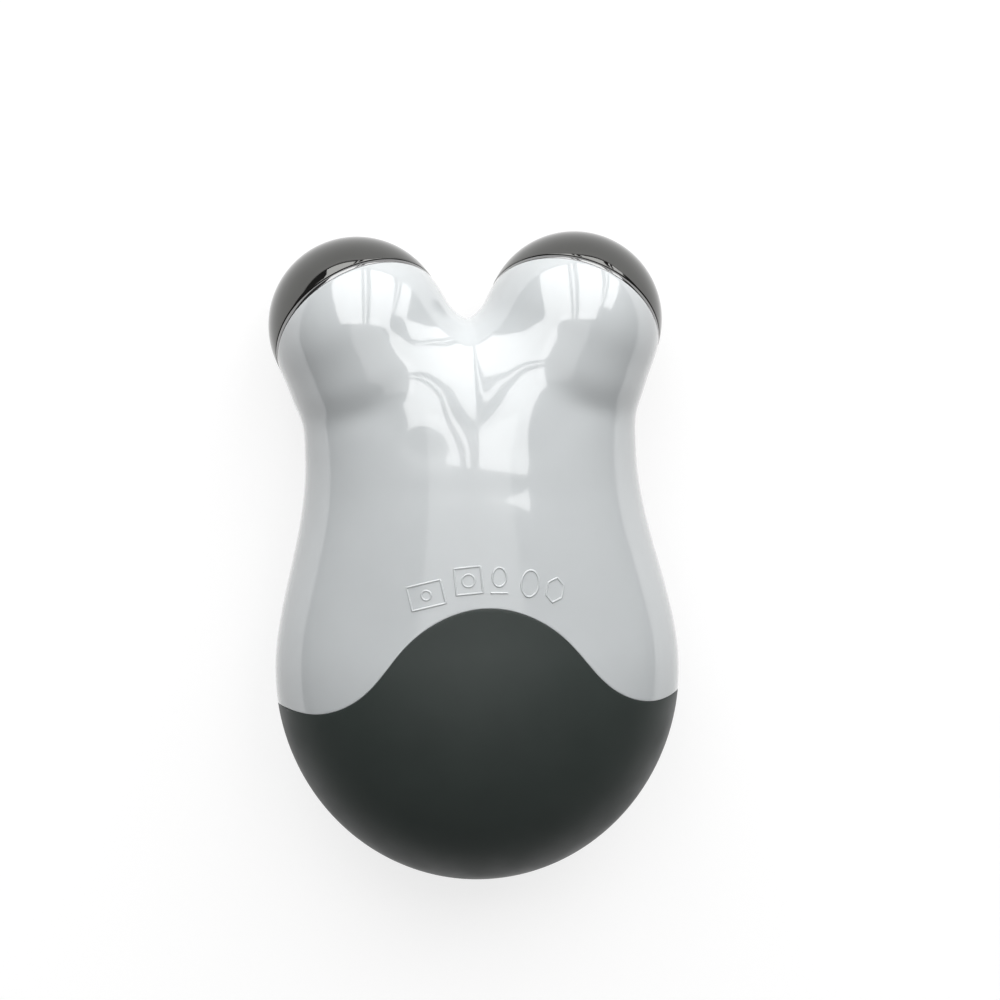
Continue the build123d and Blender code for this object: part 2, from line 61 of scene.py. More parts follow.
# ---------------------------------------------------------------- sizes, from the frame where it gives them
rear_low, rear_high = corners_mm("rear_housing")
front_low = corners_mm("front_housing")[0]
cover_high = corners_mm("grip_cover")[1]
dome_low, dome_high = corners_mm("right_electrode_dome")
HIP = rear_high[0]                       # half width of the round end
PARTING = rear_low[2]
REAR_DEPTH = cover_high[2] - PARTING
FRONT_DEPTH = PARTING - front_low[2]
DOME_R = 14.5
TIP_Y = -dome_high[1]                    # the round end's lowest point
DOME = np.array([dome_high[0] - DOME_R, dome_high[1] - DOME_R, dome_low[2] + DOME_R])

# the torso's outline above its widest place: half width, height above the tip
HIP_Y = 34.6
FLANK = [(HIP, HIP_Y), (29.8, 53.0), (27.15, 69.0), (26.6, 77.0), (14.0, 88.3), (0.0, 91.1)]
HORN_OUTWARD, HORN_FORWARD = 26.5, 39.0  # degrees
HORN_GIRTH, HORN_TAPER = 14.55, 1.8
ARM_LOW = (15.2, 84.0, 15.8, 14.4)       # the ball that a horn ends in, deep in the torso: x, height
ARM_INSET = 0.1                          # above the tip, z and radius
CREST_HIGH = (17.2, 90.0, 16.2, 13.6)    # a ridge along the horn, that runs on to the torso's middle:
CREST_LOW = (7.0, 77.0, 17.0, 13.5)      # the balls at its two ends
CREST_BLEND = 2.0
REAR_FILL = 0.115                        # the rear face is fuller than the outline gives, by this share
REAR_FILL_Y = (38.0, 62.0, 65.0, 83.0)   # where the fill starts, is full, and ends again
COLLAR_T = -1.35                         # collar's end along the horn, from the dome's centre
HORN_PAST_MOUTH = 3.0                    # the field goes on past the collar, which is cut off later
RING_TOP_T = -0.25
CREASE_BLEND = 1.4                       # rounding where a horn grows out of the torso's rear
CENTRE_BLEND = 5.0                       # the same near the middle, where the crease fades
CENTRE_FROM, CENTRE_SPAN = 20.0, 15.0    # from this far out, it comes in over this width
SIDE_BLEND = 3.0                         # the same at the waist's sides
SIDE_FROM, SIDE_SPAN = 14.0, 12.0
VALLEY_BLEND = 1.2                       # between the two horns
ARM_BLEND = 0.5                          # between a horn's mouth and the rest of it

# the grip cover's edge: x, height above the tip
REAR_EDGE = [(0.0, 45.1), (12.8, 39.5), (20.6, 31.1), (27.3, 28.8), (36.3, 31.9)]
FRONT_EDGE = [(0.0, 18.0), (36.3, 32.7)]

WALL, COVER_WALL, COVER_GAP = 2.6, 1.2, 0.05
SEAM_ROUND = 0.12                        # rounding of the casings' edges
GRID_STEP = 1.1                          # first mesh of the shells, before it is divided once
PLUG_WAY_R, LENS_R = 3.3, 1.3
EDGE_GAP = 0.02                          # left round a piece that stands in a hole of the shell

# domes and bezel rings
DOME_WALL, NECK_LENGTH, NECK_R, STUD_R = 1.2, 3.5, 10.5, 2.0
DOME_LIP, BEZEL_ROUND = 0.12, 0.12       # rounding of their edges
GROOVE, GROOVE_DEPTH = 0.16, 0.6
LATHE_STEPS = 192

# raised marks: x, height above the tip, tilt in degrees, and strokes of (figure, half width,
# half height, raised by)
MARK_HALF_WIDTH, MARK_HEIGHT = 0.17, 0.14
MARKS = [
    (-9.4, 47.5, 12, [("box", 2.7, 1.9, 0.0), ("ring", 0.75, 0.75, 0.0)]),
    (-2.7, 49.6, 4, [("box", 2.1, 2.1, 0.0), ("ring", 1.0, 1.0, 0.0)]),
    (2.2, 49.5, -2, [("bar", 1.4, 0.0, -2.0), ("ring", 1.1, 1.5, 0.5)]),
    (7.1, 48.8, -8, [("ring", 1.4, 2.1, 0.0)]),
    (11.1, 47.6, -14, [("hexagon", 1.5, 2.0, 0.0)]),
]

# colours, linear
WHITE = (0.585, 0.61, 0.62)
GREY = (0.033, 0.041, 0.038)
DOME_METAL = (0.12, 0.12, 0.116)
BEZEL_METAL = (0.26, 0.26, 0.26)

# the camera stands above the rear face; the pixel is the one that the parting plane's origin falls on
FRAME_PIXELS = 1000
PIXEL_MM = 0.1636
CENTRE_PIXEL = (474.5, 556.36)
CAMERA_DISTANCE, SENSOR_MM = 500.0, 36.0
CAMERA_YAW, CAMERA_PITCH, CAMERA_ROLL = -5.64, -0.8, 1.83

# lamps: azimuth from +Y towards +X and elevation in degrees, distance, sideways, width and height
# in metres, brightness of the lamp's face. The window is a row of panes with bars between them, and
# its two panes on the right are lower than the rest.
LAMPS = [
    ("window_wide_left", 4, 40.5, 0.8, -0.34, 0.52, 1.23, 3.2),
    ("window_slit_left", 4, 40.5, 0.8, -0.02, 0.03, 1.23, 3.2),
    ("window_middle", 4, 40.5, 0.8, 0.26, 0.40, 1.23, 3.2),
    ("window_slit_right", 4, 30, 0.8, 0.515, 0.03, 0.85, 3.2),
    ("window_right", 4, 30, 0.8, 0.72, 0.28, 0.85, 3.2),
    ("ceiling", 0, 90, 1.2, 0.0, 0.8, 0.8, 0.8),
]
WORLD_COLOUR, WORLD_STRENGTH = (1.0, 1.0, 1.0), 0.10
FLOOR_COLOUR, FLOOR_GLOW = (0.26, 0.26, 0.26), 0.78

horn_axis = np.array(
    [
        math.sin(math.radians(HORN_OUTWARD)) * math.cos(math.radians(HORN_FORWARD)),
        math.cos(math.radians(HORN_OUTWARD)) * math.cos(math.radians(HORN_FORWARD)),
        -math.sin(math.radians(HORN_FORWARD)),
    ]
)


# ---------------------------------------------------------------- smooth curves
class SmoothCurve:
    """A cubic spline through points, by chord length. Its end slopes are free or given."""

    def __init__(self, points, start=None, end=None):
        self.p = np.array(points, float)
        n = len(self.p)
        gaps = np.linalg.norm(np.diff(self.p, axis=0), axis=1)
        self.u = np.concatenate([[0.0], np.cumsum(gaps)])
        a, b = np.zeros((n, n)), np.zeros((n, 2))
        for i in range(1, n - 1):
            a[i, i - 1 : i + 2] = gaps[i], 2 * (gaps[i - 1] + gaps[i]), gaps[i - 1]
            steps = np.diff(self.p[i - 1 : i + 2], axis=0)
            b[i] = 3 * (gaps[i] / gaps[i - 1] * steps[0] + gaps[i - 1] / gaps[i] * steps[1])
        for row, slope, side in ((0, start, 1), (n - 1, end, -2)):
            if slope is None:
                a[row, row], a[row, row + (1 if row == 0 else -1)] = 2, 1
                k = 0 if row == 0 else n - 2
                b[row] = 3 * (self.p[k + 1] - self.p[k]) / gaps[k]
            else:
                a[row, row] = 1
                b[row] = slope
        self.slopes = np.linalg.solve(a, b)

    def at(self, u):
        """Points and their first and second derivatives at the chord lengths u."""
        k = np.clip(np.searchsorted(self.u, u) - 1, 0, len(self.u) - 2)
        h = (self.u[k + 1] - self.u[k])[:, None]
        s = (u - self.u[k])[:, None] / h
        p0, p1, m0, m1 = self.p[k], self.p[k + 1], self.slopes[k] * h, self.slopes[k + 1] * h
        c3, c2 = 2 * (p0 - p1) + m0 + m1, -3 * (p0 - p1) - 2 * m0 - m1
        here = ((c3 * s + c2) * s + m0) * s + p0
        first = ((3 * c3 * s + 2 * c2) * s + m0) / h
        second = (6 * c3 * s + 2 * c2) / h**2
        return here, first, second


flank = SmoothCurve(FLANK, start=(0, 1), end=(-1, 0))
flank_u = np.linspace(0, flank.u[-1], 260)
flank_points = flank.at(flank_u)[0]


def edge_height(points):
    """The cover edge's height over x, smooth and level in the middle."""
    curve = SmoothCurve([(-x, y) for x, y in reversed(points[1:])] + list(points))
    table = curve.at(np.linspace(0, curve.u[-1], 1500))[0]
    return lambda x: np.interp(x, table[:, 0], table[:, 1])


rear_edge, front_edge = edge_height(REAR_EDGE), edge_height(FRONT_EDGE)


# ---------------------------------------------------------------- the body as one smooth distance field
def smooth_step(x):
    x = np.clip(x, 0, 1)
    return x * x * (3 - 2 * x)


def torso_distance(p):
    """Signed distance to the torso: its outline turned about Y and flattened front to back."""
    y = p[:, 1] - TIP_Y
    y0, y1, y2, y3 = REAR_FILL_Y
    fill = 1 + REAR_FILL * smooth_step((y - y0) / (y1 - y0)) * smooth_step((y3 - y) / (y3 - y2))
    depth = np.where(p[:, 2] > PARTING, REAR_DEPTH * fill, FRONT_DEPTH) / HIP
    z = (p[:, 2] - PARTING) / depth
    r = np.sqrt(p[:, 0] ** 2 + z**2) + 1e-9
    distance, nr, ny = np.empty(len(p)), np.empty(len(p)), np.empty(len(p))
    low = y < HIP_Y
    across, along = r[low] / HIP, (y[low] - HIP_Y) / HIP_Y
    reach = np.hypot(across, along) + 1e-9
    slope_r, slope_y = across / HIP / reach, along / HIP_Y / reach
    steep = np.hypot(slope_r, slope_y)
    distance[low], nr[low], ny[low] = (reach - 1) / steep, slope_r / steep, slope_y / steep
    high = ~low
    q = np.stack([r[high], y[high]], 1)
    nearest = np.empty(len(q), int)
    for i in range(0, len(q), 20000):
        gap = q[i : i + 20000, None, :] - flank_points[None]
        nearest[i : i + 20000] = np.argmin((gap**2).sum(2), 1)
    u = flank_u[nearest]
    for _ in range(3):
        here, first, second = flank.at(u)
        off = here - q
        bend = (first**2).sum(1) + (off * second).sum(1)
        u = np.clip(u - (off * first).sum(1) / np.where(bend > 0.2, bend, 1.0), 0, flank.u[-1])
    here, first, _ = flank.at(u)
    normal = np.stack([first[:, 1], -first[:, 0]], 1)
    normal /= np.linalg.norm(normal, axis=1)[:, None]
    off = q - here
    side = (off * normal).sum(1)
    distance[high] = np.sign(side) * np.linalg.norm(off, axis=1)
    nr[high], ny[high] = normal[:, 0], normal[:, 1]
    slope = np.sqrt((nr * p[:, 0] / r) ** 2 + ny**2 + (nr * z / (depth * r)) ** 2)
    return distance / np.maximum(slope, 0.3)


def horn_ball():
    """Slope of the horn's cone, and radius and place on the axis of the ball that it is tangent to."""
    slope = math.atan2(HORN_GIRTH - DOME_R, HORN_TAPER)
    ball = HORN_GIRTH / math.cos(slope)
    return slope, ball, -HORN_TAPER - ball * math.sin(slope)


def horn_distance(p, side):
    """Signed distance to a horn: a cone that widens behind its mouth and closes with a ball."""
    mirror = np.array([side, 1, 1])
    away = p * mirror - DOME
    t = away @ horn_axis
    rho = np.sqrt(np.maximum((away**2).sum(1) - t**2, 0))
    slope, ball, ball_t = horn_ball()
    cone = (rho - DOME_R + (HORN_GIRTH - DOME_R) / HORN_TAPER * t) * math.cos(slope)
    round_end = np.hypot(rho, t - ball_t) - ball
    past = (t - ball_t) * math.cos(slope) - rho * math.sin(slope)
    return np.maximum(np.where(past > 0, cone, round_end), t - HORN_PAST_MOUTH)


def hull_distance(p, high, r_high, low, r_low):
    """Signed distance to the hull of two balls, of which the first is the larger one."""
    along, away = low - high, p - high
    length = np.linalg.norm(along)
    t = away @ along / length
    rho = np.sqrt(np.maximum((away**2).sum(1) - t**2, 0))
    slope = math.asin((r_high - r_low) / length)
    reach = t - rho * math.tan(slope)
    side_on = rho * math.cos(slope) + t * math.sin(slope) - r_high
    ends = np.where(reach < 0, np.hypot(rho, t) - r_high, np.hypot(rho, t - length) - r_low)
    return np.where((reach < 0) | (reach > length), ends, side_on)


def arm_distance(p, side):
    """Signed distance to the rest of a horn: from its ball down into the torso, with its ridge."""
    p = p * np.array([side, 1, 1])
    _, ball, ball_t = horn_ball()
    low, crest_high, crest_low = (
        np.array([x, y + TIP_Y, z]) for x, y, z, _ in (ARM_LOW, CREST_HIGH, CREST_LOW)
    )
    arm = hull_distance(p, DOME + horn_axis * ball_t, ball - ARM_INSET, low, ARM_LOW[3])
    crest = hull_distance(p, crest_high, CREST_HIGH[3], crest_low, CREST_LOW[3])
    return soft_union(arm, crest, CREST_BLEND)


def soft_union(a, b, width):
    h = np.maximum(width - np.abs(a - b), 0) / width
    return np.minimum(a, b) - h**3 * width / 6


def body_distance(p):
    torso = torso_distance(p)
    right, left = (soft_union(horn_distance(p, side), arm_distance(p, side), ARM_BLEND) for side in (1, -1))
    horns = soft_union(right, left, VALLEY_BLEND)
    outward = smooth_step((np.abs(p[:, 0]) - SIDE_FROM) / SIDE_SPAN)
    inward = smooth_step((CENTRE_FROM - np.abs(p[:, 0])) / CENTRE_SPAN)
    width = CREASE_BLEND + (SIDE_BLEND - CREASE_BLEND) * outward + (CENTRE_BLEND - CREASE_BLEND) * inward
    return soft_union(torso, horns, width)


def gradient(field, p, step=0.02):
    g = np.empty_like(p)
    for axis in range(3):
        shift = np.zeros(3)
        shift[axis] = step
        g[:, axis] = (field(p + shift) - field(p - shift)) / (2 * step)
    return g


def onto(p, field, rounds=3):
    """Moves points onto the surface where the field is nought."""
    for _ in range(rounds):
        g = gradient(field, p)
        p = p - g * (field(p) / np.maximum((g**2).sum(1), 1e-6))[:, None]
    return p


# ---------------------------------------------------------------- from the field to a mesh of quads
def field_mesh(field, low, high, step):
    """One vertex in each grid cell that the surface crosses, and one quad for each crossed grid edge."""
    counts = [int(math.ceil((h - l) / step)) + 1 for l, h in zip(low, high)]
    axes = [l + step * np.arange(n) for l, n in zip(low, counts)]
    grid = np.stack(np.meshgrid(*axes, indexing="ij"), -1)
    value = field(grid.reshape(-1, 3)).reshape(counts)
    inside = value < 0
    total = sum(
        inside[i : counts[0] - 1 + i, j : counts[1] - 1 + j, k : counts[2] - 1 + k].astype(int)
        for i in (0, 1) for j in (0, 1) for k in (0, 1)
    )
    crossed = (total > 0) & (total < 8)
    number = np.full(crossed.shape, -1)
    number[crossed] = np.arange(crossed.sum())
    points = grid[:-1, :-1, :-1][crossed] + step / 2
    quads = []
    for axis in range(3):
        others = [a for a in range(3) if a != axis]
        if axis == 1:
            others.reverse()
        first = np.take(inside, range(counts[axis] - 1), axis)
        second = np.take(inside, range(1, counts[axis]), axis)
        for leaving in (True, False):
            at = np.argwhere((first & ~second) if leaving else (~first & second))
            at = at[(at[:, others[0]] > 0) & (at[:, others[1]] > 0)]
            ring = []
            for da, db in ((1, 1), (0, 1), (0, 0), (1, 0)):
                cell = at.copy()
                cell[:, others[0]] -= da
                cell[:, others[1]] -= db
                ring.append(number[tuple(cell.T)])
            ring = np.stack(ring, 1)
            quads.append(ring if leaving else ring[:, ::-1])
    return points, np.concatenate(quads)


def even_out(points, quads, field, rounds):
    """Spreads the vertices evenly over the surface."""
    ends = np.concatenate([quads[:, [i, (i + 1) % 4]] for i in range(4)])
    ends = np.concatenate([ends, ends[:, ::-1]])
    degree = np.bincount(ends[:, 0], minlength=len(points))[:, None]
    for _ in range(rounds):
        middle = np.stack(
            [np.bincount(ends[:, 0], points[ends[:, 1], i], minlength=len(points)) for i in range(3)], 1
        )
        points = onto(points + 0.5 * (middle / degree - points), field, 1)
    return points


def divided(points, quads):
    """Each quad into four, with a vertex in the middle of each edge and face."""
    edges = np.concatenate([np.sort(quads[:, [i, (i + 1) % 4]], 1) for i in range(4)])
    unique, back = np.unique(edges, axis=0, return_inverse=True)
    back = back.reshape(4, -1).T + len(points)
    centre = np.arange(len(quads)) + len(points) + len(unique)
    joined = np.concatenate([points, points[unique].mean(1), points[quads].mean(1)])
    small = [np.stack([quads[:, i], back[:, i], centre, back[:, i - 1]], 1) for i in range(4)]
    return joined, np.concatenate(small)


def new_object(name, points, faces, body="root"):
    mesh = bpy.data.meshes.new(name)
    mesh.from_pydata([tuple(p) for p in np.asarray(points) * MM], [], [list(map(int, f)) for f in faces])
    mesh.validate()
    mesh.polygons.foreach_set("use_smooth", [True] * len(mesh.polygons))
    piece = bpy.data.objects.new(name, mesh)
    bpy.context.scene.collection.objects.link(piece)
    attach(piece, body)
    return piece


# ---------------------------------------------------------------- cutting the surface along smooth lines
def rim_of(faces):
    """The open edges of a patch, as pairs of vertex numbers in the faces' own direction."""
    edges = {(a, b) for f in faces for a, b in zip(f, f[1:] + f[:1])}
    return [(a, b) for a, b in edges if (b, a) not in edges]


def toward_line(p, scalar, field, rounds):
    """Moves points to where both the scalar and the field are nought."""
    for _ in range(rounds):
        g = gradient(scalar, p)
        p = p - g * (scalar(p) / np.maximum((g**2).sum(1), 1e-6))[:, None]
        p = onto(p, field, 1)
    return p


def cut(points, faces, scalar, field):
    """Splits the faces along the line where the scalar is nought, and puts that line exactly on
    the surface. Vertices near the line are moved onto it first, so that no sliver is left.
    Returns the points, the faces and the scalar's sign for each face."""
    level = scalar(points)
    close = np.abs(level) < 0.4 * GRID_STEP / 2
    close[[v for edge in rim_of(faces) for v in edge]] = False
    points = points.copy()
    if close.any():
        steep = np.linalg.norm(gradient(scalar, points[close]), axis=1)
        near = np.flatnonzero(close)[steep > 0.3]
        points[near] = toward_line(points[near], scalar, field, 3)
        level[near] = 0.0
    bm = bmesh.new()
    real = bm.verts.layers.float_vector.new("real")
    made = []
    for p, s in zip(points, level):
        v = bm.verts.new((s, p[1], p[2]))
        v[real] = p
        made.append(v)
    for f in faces:
        bm.faces.new([made[i] for i in f])
    everything = bm.verts[:] + bm.edges[:] + bm.faces[:]
    bmesh.ops.bisect_plane(bm, geom=everything, dist=1e-5, plane_co=(0, 0, 0), plane_no=(1, 0, 0))
    bm.verts.index_update()
    out = np.array([tuple(v[real]) for v in bm.verts])
    on_line = np.array([abs(v.co.x) < 2e-5 for v in bm.verts])
    new_faces = [[v.index for v in f.verts] for f in bm.faces]
    signs = np.array([np.sign(sum(v.co.x for v in f.verts)) for f in bm.faces])
    bm.free()
    if on_line.any():
        out[on_line] = toward_line(out[on_line], scalar, field, 4)
    return out, new_faces, signs


def kept(points, faces, signs, sign):
    """The faces on one side of a cut, with only the points they use."""
    faces = [f for f, s in zip(faces, signs) if s == sign]
    used = sorted({i for f in faces for i in f})
    number = {old: new for new, old in enumerate(used)}
    return points[used], [[number[i] for i in f] for f in faces]


def shell(points, faces, field, thickness, inset=0.0, rounding=SEAM_ROUND):
    """A closed shell from an open patch: the patch, rounded edges, and its inner copy. The edges
    are drawn back first, so that rounding doesn't make the patch larger."""
    normals = gradient(field, points)
    normals /= np.linalg.norm(normals, axis=1)[:, None]
    rim = rim_of(faces)
    after = dict(rim)
    before = {b: a for a, b in rim}
    edge = sorted(after)
    spot = {v: i for i, v in enumerate(edge)}
    nxt = np.array([after[v] for v in edge])
    prv = np.array([before[v] for v in edge])
    along = points[nxt] - points[prv]
    outward = np.cross(along, normals[edge])
    outward /= np.linalg.norm(outward, axis=1)[:, None]
    base = points - normals * inset
    ring0 = base[edge] - outward * rounding
    outer = base.copy()
    outer[edge] = ring0
    rings = []
    for angle in (30, 60, 90):
        s, c = math.sin(math.radians(angle)), math.cos(math.radians(angle))
        rings.append(ring0 + outward * rounding * s - normals[edge] * rounding * (1 - c))
    rings.append(base[edge] - normals[edge] * thickness)
    inner = base - normals * thickness
    n, m = len(points), len(edge)
    all_points = [outer] + rings[:-1] + [inner]
    all_faces = [list(f) for f in faces]
    offsets = [n + m * i for i in range(len(rings) - 1)]
    inner_at = n + m * (len(rings) - 1)
    levels = [lambda v: v] + [lambda v, o=o: o + spot[v] for o in offsets] + [lambda v: inner_at + v]
    for low, high in zip(levels, levels[1:]):
        for a, b in rim:
            all_faces.append([low(b), low(a), high(a), high(b)])
    all_faces += [[inner_at + i for i in reversed(f)] for f in faces]
    return np.concatenate(all_points), all_faces


def mouth_scalar(side):
    mirror = np.array([side, 1, 1])
    return lambda p: (p * mirror - DOME) @ horn_axis - COLLAR_T


def cover_scalar(p):
    height = np.where(p[:, 2] > PARTING, rear_edge(p[:, 0]), front_edge(p[:, 0]))
    return p[:, 1] - TIP_Y - height


def parting_scalar(p):
    return p[:, 2] - PARTING


def hole_scalar(centre, radius, axis, facing):
    """Distance from a round hole's wall, on the side of the body that the hole is in."""
    flat = [i for i in range(3) if i != axis]

    def scalar(p):
        away = np.hypot(p[:, flat[0]] - centre[flat[0]], p[:, flat[1]] - centre[flat[1]]) - radius
        behind = (p[:, axis] - centre[axis]) * facing < 0
        return np.where(behind, np.maximum(away, 1.0), away)

    return scalar


def joined(parts):
    points, faces, start = [], [], 0
    for p, f in parts:
        points.append(p)
        faces += [[i + start for i in g] for g in f]
        start += len(p)
    return np.concatenate(points), faces


def holes():
    """The way in for the plug at the round end, the button's bezel and the three light pipes."""
    low, high = corners_mm("charging_socket")
    middle = (low + high) / 2
    yield hole_scalar(np.array([middle[0], low[1] + 6.0, middle[2]]), PLUG_WAY_R, 1, -1)
    low, high = corners_mm("button_bezel")
    yield hole_scalar((low + high) / 2, (high[0] - low[0]) / 2 + EDGE_GAP, 2, -1)
    low, high = corners_mm("indicator_lenses")
    radius = LENS_R + EDGE_GAP
    for x in (low[0] + LENS_R, 0.0, high[0] - LENS_R):
        y = high[1] - LENS_R if x == 0.0 else low[1] + LENS_R
        yield hole_scalar(np.array([x, y, high[2]]), radius, 2, -1)


def make_casings():
    margin = 2.5 * GRID_STEP
    low = np.array([-HIP - margin, TIP_Y - margin, front_low[2] - margin])
    high = np.array([HIP + margin, rear_high[1] + 8 * margin, rear_high[2] + margin])
    points, faces = field_mesh(body_distance, low, high, GRID_STEP)
    points = onto(points, body_distance, 3)
    points = even_out(points, faces, body_distance, 6)
    points, faces = divided(points, faces)
    points = onto(points, body_distance, 2)
    faces = faces.tolist()
    for side in (1, -1):
        points, faces, signs = cut(points, faces, mouth_scalar(side), body_distance)
        points, faces = kept(points, faces, signs, -1)
    for scalar in holes():
        points, faces, signs = cut(points, faces, scalar, body_distance)
        points, faces = kept(points, faces, signs, 1)
    points, faces, above = cut(points, faces, cover_scalar, body_distance)
    white = kept(points, faces, above, 1)
    grip = kept(points, faces, above, -1)
    housings = {}
    for name, sign in (("rear", 1), ("front", -1)):
        halves = []
        for (patch_points, patch_faces), inset in ((white, 0.0), (grip, COVER_WALL + COVER_GAP)):
            p, f, signs = cut(patch_points, patch_faces, parting_scalar, body_distance)
            p, f = kept(p, f, signs, sign)
            halves.append(shell(p, f, body_distance, WALL - inset, inset))
        housings[name] = new_object(f"{name}_shell", *joined(halves))
    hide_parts("rear_housing")
    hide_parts("front_housing")
    cover = new_object("grip_shell", *shell(*grip, body_distance, COVER_WALL))
    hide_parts("grip_cover")
    return housings["rear"], housings["front"], cover


# ---------------------------------------------------------------- domes and bezel rings
def lathe(name, profile, side):
    """Turns a closed profile of (radius, height along the horn) about the horn's axis."""
    across = np.cross([0, 0, 1], horn_axis)
    across /= np.linalg.norm(across)
    up = np.cross(horn_axis, across)
    turn = np.linspace(0, 2 * math.pi, LATHE_STEPS, endpoint=False)
    circle = np.outer(np.cos(turn), across) + np.outer(np.sin(turn), up)
    points, rows = [], []
    for r, t in profile:
        count = LATHE_STEPS if r > 1e-6 else 1
        rows.append([len(points) + i % count for i in range(LATHE_STEPS)])
        points += list(DOME + horn_axis * t + r * circle[:count])
    faces = []
    for low, high in zip(rows, rows[1:] + rows[:1]):
        for i in range(LATHE_STEPS):
            j = (i + 1) % LATHE_STEPS
            corners = list(dict.fromkeys([low[i], low[j], high[j], high[i]]))
            if len(corners) > 2:
                faces.append(corners if side > 0 else corners[::-1])
    return new_object(name, np.array(points) * [side, 1, 1], faces)


def arc(centre, radius, start, end, steps):
    """Points on a circle in the (radius, height) plane, by angles in degrees."""
    angles = np.radians(np.linspace(start, end, steps))
    return [(centre[0] + radius * math.cos(a), centre[1] + radius * math.sin(a)) for a in angles]


def make_dome(side, name):
    """A polished shell: a ball from its rounded base edge to the pole, with the neck below."""
    base, low = RING_TOP_T, RING_TOP_T - NECK_LENGTH
    inner, bore = DOME_R - DOME_WALL, NECK_R - DOME_WALL
    start = math.degrees(math.asin((base + DOME_LIP) / DOME_R))
    ball = arc((0, 0), DOME_R, start, 90, 60)[:-1] + [(0, DOME_R)]
    lip = arc((ball[0][0] - DOME_LIP, base + DOME_LIP), DOME_LIP, -90, 0, 5)
    floor_t = base + DOME_WALL
    inside_start = math.degrees(math.asin(floor_t / inner))
    inside = [(0, inner)] + arc((0, 0), inner, 90, inside_start, 24)[1:]
    neck = [(bore, floor_t), (bore, low + DOME_WALL), (STUD_R, low + DOME_WALL), (STUD_R, low)]
    return lathe(name, [(NECK_R, low), (NECK_R, base)] + lip + ball[1:] + inside + neck, side)


def make_bezel(side, name):
    """A narrow ring with a shadow line above and below it."""
    soft, waist = BEZEL_ROUND, DOME_R - GROOVE_DEPTH
    low, high = COLLAR_T, RING_TOP_T
    profile = [(NECK_R + 0.1, low), (waist, low), (waist, low + GROOVE)]
    profile += arc((DOME_R - soft, low + GROOVE + soft), soft, -90, 0, 4)
    profile += arc((DOME_R - soft, high - GROOVE - soft), soft, 0, 90, 4)
    profile += [(waist, high - GROOVE), (waist, high), (NECK_R + 0.1, high)]
    return lathe(name, profile, side)


# ---------------------------------------------------------------- raised marks above the cover
def on_rear(x, y):
    """The rear surface's height over points in the row's plane."""
    z = np.full(len(x), rear_high[2] - 1.0)
    for _ in range(8):
        p = np.stack([x, y, z], 1)
        z = z - body_distance(p) / gradient(body_distance, p)[:, 2]
    return z


def ridge(path, closed):
    """A low rounded ridge along a path of (x, y) points, standing on the rear surface."""
    path = np.array(path, float)
    ends = list(zip(path, np.roll(path, -1, 0))) if closed else list(zip(path, path[1:]))
    fine = np.concatenate([np.linspace(a, b, max(2, int(np.linalg.norm(b - a) / 0.25)), endpoint=False)
                           for a, b in ends] + ([] if closed else [path[-1:]]))
    centre = np.column_stack([fine, on_rear(fine[:, 0], fine[:, 1])])
    normal = gradient(body_distance, centre)
    normal /= np.linalg.norm(normal, axis=1)[:, None]
    if closed:
        along = np.roll(centre, -1, 0) - np.roll(centre, 1, 0)
    else:
        along = np.gradient(centre, axis=0)
    across = np.cross(normal, along)
    across /= np.linalg.norm(across, axis=1)[:, None]
    angles = np.radians(np.linspace(-35, 215, 9))
    rows = [
        centre + across * MARK_HALF_WIDTH * math.cos(a) + normal * MARK_HEIGHT * math.sin(a) for a in angles
    ]
    count, points, faces = len(centre), np.concatenate(rows), []
    for i in range(count if closed else count - 1):
        j = (i + 1) % count
        for k in range(len(rows)):
            low, high = k * count, (k + 1) % len(rows) * count
            faces.append([low + i, low + j, high + j, high + i])
    if not closed:
        faces.append([k * count for k in range(len(rows))])
        faces.append([k * count + count - 1 for k in reversed(range(len(rows)))])
    return points, faces


def figure_points(kind, across, up):
    """The outline of a plain figure about the origin, in mm."""
    if kind == "box":
        return [(-across, -up), (across, -up), (across, up), (-across, up)]
    if kind == "bar":
        return [(-across, 0), (across, 0)]
    sides = {"ring": 40, "hexagon": 6}[kind]
    turn = [math.radians(90 + 360 * i / sides) for i in range(sides)]
    return [(across * math.cos(a), up * math.sin(a)) for a in turn]


def make_marks():
    """Five plain figures in an arc above the cover's hump, raised as fine lines."""
    parts = []
    for x, y, tilt, strokes in MARKS:
        c, s = math.cos(math.radians(tilt)), math.sin(math.radians(tilt))
        for kind, across, up, lift in strokes:
            outline = [(u, v + lift) for u, v in figure_points(kind, across, up)]
            path = [(x + c * u - s * v, TIP_Y + y + s * u + c * v) for u, v in outline]
            parts.append(ridge(path, kind != "bar"))
    marks = new_object("raised_marks", *joined(parts))
    return marks


